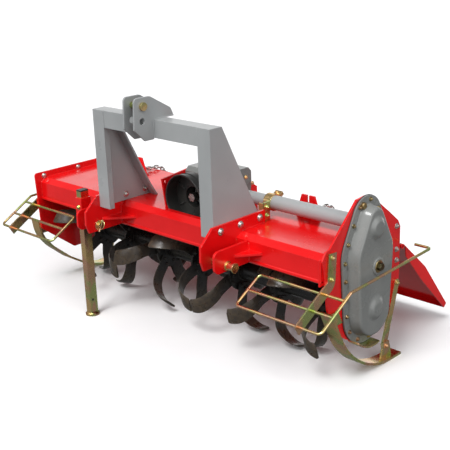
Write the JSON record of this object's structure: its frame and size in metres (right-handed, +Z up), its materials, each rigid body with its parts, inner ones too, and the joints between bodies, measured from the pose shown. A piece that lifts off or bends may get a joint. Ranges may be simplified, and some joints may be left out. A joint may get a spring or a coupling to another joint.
{
  "type": "rotary tiller",
  "caption": "Tractor-mounted rotary tiller with a side gear case, linkage mast, skids, guards, parking stand and hinged tailboard that tills soil with a turning blade rotor.",
  "frame": {"origin": "centre of the input shaft's end face, midway between the mast posts", "axes": "+X towards the side gear case, +Y to the rear, away from the tractor, +Z up"},
  "size_m": [1.872, 1.0455, 1.033],
  "materials": {
    "red_paint": "gloss",
    "grey_paint": "satin",
    "gold_zinc": "satin",
    "black_paint": "satin",
    "blade_steel": "satin",
    "black_plastic": "matte",
    "bright_steel": "satin"
  },
  "bodies": {
    "frame": {"axle_tube": "grey_paint", "case_shoe": "gold_zinc", "chain_lugs": "red_paint", "clamp_bracket": "gold_zinc", "clevis_plate_left": "red_paint", "clevis_plate_right": "red_paint", "gear_case_cover": "grey_paint", "gear_case_flange": "grey_paint", "gearbox": "grey_paint", "gearbox_support_left": "red_paint", "gearbox_support_right": "red_paint", "guard_bar_left": "gold_zinc", "guard_bar_right": "gold_zinc", "guard_frame_left": "gold_zinc", "guard_frame_right": "gold_zinc", "hitch_plate_left": "red_paint", "hitch_plate_right": "red_paint", "hood": "red_paint", "lower_pin_left": "gold_zinc", "lower_pin_right": "gold_zinc", "mast_cross_tube": "grey_paint", "mast_post_left": "grey_paint", "mast_post_right": "grey_paint", "oil_plug": "bright_steel", "pto_guard": "black_plastic", "rotor_bearing_left": "black_paint", "side_plate_left": "red_paint", "side_plate_right": "red_paint", "skid_left": "gold_zinc", "skid_right": "gold_zinc", "skid_strut_left": "gold_zinc", "skid_strut_right": "gold_zinc", "stand_sleeve": "red_paint", "tailboard_hinge": "red_paint", "top_link_ears": "grey_paint", "top_link_pin": "gold_zinc", "tube_clamp": "gold_zinc"},
    "rotor": {"blade_set_1": "blade_steel", "blade_set_2": "blade_steel", "blade_set_3": "blade_steel", "blade_set_4": "blade_steel", "blade_set_5": "blade_steel", "blade_set_6": "blade_steel", "blade_set_7": "blade_steel", "rotor_shaft": "black_paint"},
    "tailboard": {"tailboard": "red_paint"},
    "stand": {"stand_tube": "gold_zinc", "stand_cap": "black_plastic"},
    "pto_shaft": {"pto_shaft": "bright_steel"}
  },
  "joints": [
    {"name": "rotor_spin", "type": "hinge", "parent": "frame", "child": "rotor", "pos_m": [0, 0.15, -0.325], "axis": [1, 0, 0], "continuous": true},
    {"name": "pto_spin", "type": "hinge", "parent": "frame", "child": "pto_shaft", "pos_m": [0, 0, 0], "axis": [0, -1, 0], "continuous": true},
    {"name": "tailboard_hinge", "type": "hinge", "parent": "frame", "child": "tailboard", "pos_m": [0, 0.398, -0.152], "axis": [1, 0, 0], "range_deg": [0, 45]},
    {"name": "stand_slide", "type": "slide", "parent": "frame", "child": "stand", "axis": [0, 0, 1], "range_m": [0, 0.34]}
  ],
  "couplings": [
    {"joint": "pto_spin", "follows": "rotor_spin", "ratio": 2.5}
  ]
}
